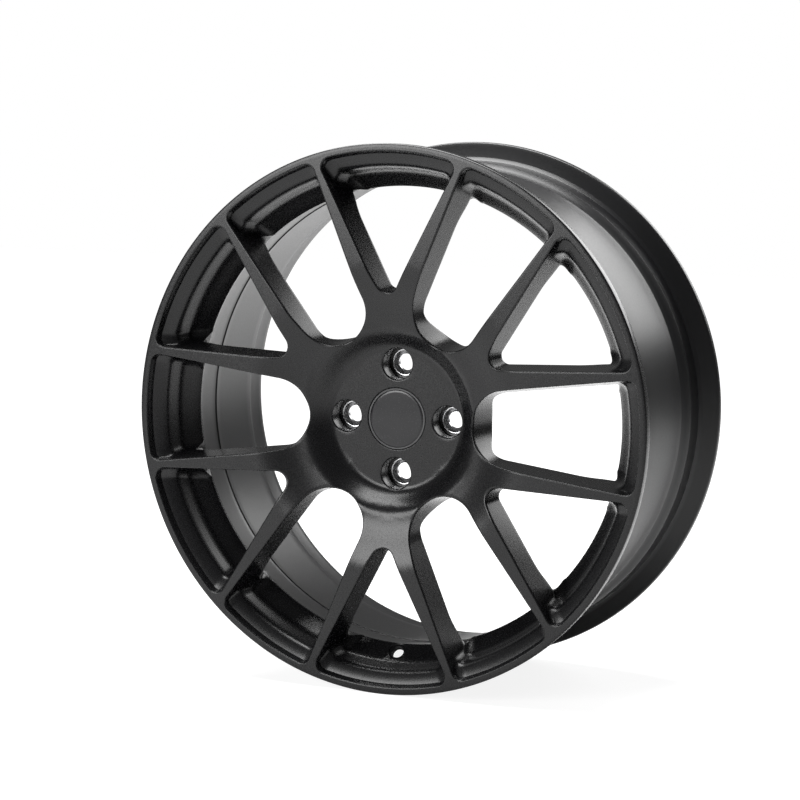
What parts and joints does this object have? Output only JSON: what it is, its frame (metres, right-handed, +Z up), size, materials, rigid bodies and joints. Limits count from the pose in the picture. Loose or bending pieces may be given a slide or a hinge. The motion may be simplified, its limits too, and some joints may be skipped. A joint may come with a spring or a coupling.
{
  "type": "racing wheel rim",
  "caption": "Forged racing wheel rim with slim Y spokes, deep windows, a dished hub, bright conical lug seats and a plain centre cap that pulls out.",
  "frame": {"origin": "centre of the rim: on the wheel's axis, half-way between the front of the outer lip and the rear edge", "axes": "+Y along the wheel's axis towards the car, -Y out of the visible face, +Z up, +X to the right seen from the face"},
  "size_m": [0.4966, 0.2154, 0.4966],
  "materials": {
    "forging_paint": "forged aluminium under satin black powder coat",
    "bare_seat_metal": "bare turned metal, bright",
    "cap_plastic": "fine-grained black plastic",
    "cap_gloss": "smooth gloss black, left bare",
    "spring_wire": "drawn spring wire"
  },
  "bodies": {
    "wheel": {"hub": "forging_paint", "front_flange": "forging_paint", "front_wall": "forging_paint", "rim_barrel": "forging_paint", "rear_flange": "forging_paint", "y_spoke_1": "forging_paint", "y_spoke_2": "forging_paint", "y_spoke_3": "forging_paint", "y_spoke_4": "forging_paint", "y_spoke_5": "forging_paint", "y_spoke_6": "forging_paint", "lug_seat_1": "bare_seat_metal", "lug_seat_2": "bare_seat_metal", "lug_seat_3": "bare_seat_metal", "lug_seat_4": "bare_seat_metal"},
    "centre_cap": {"cap_body": "cap_plastic", "cap_face": "cap_gloss", "cap_spring_ring": "spring_wire"}
  },
  "joints": [
    {"name": "cap_pull", "type": "slide", "parent": "wheel", "child": "centre_cap", "axis": [0, -1, 0], "range_m": [0, 0.03]}
  ]
}
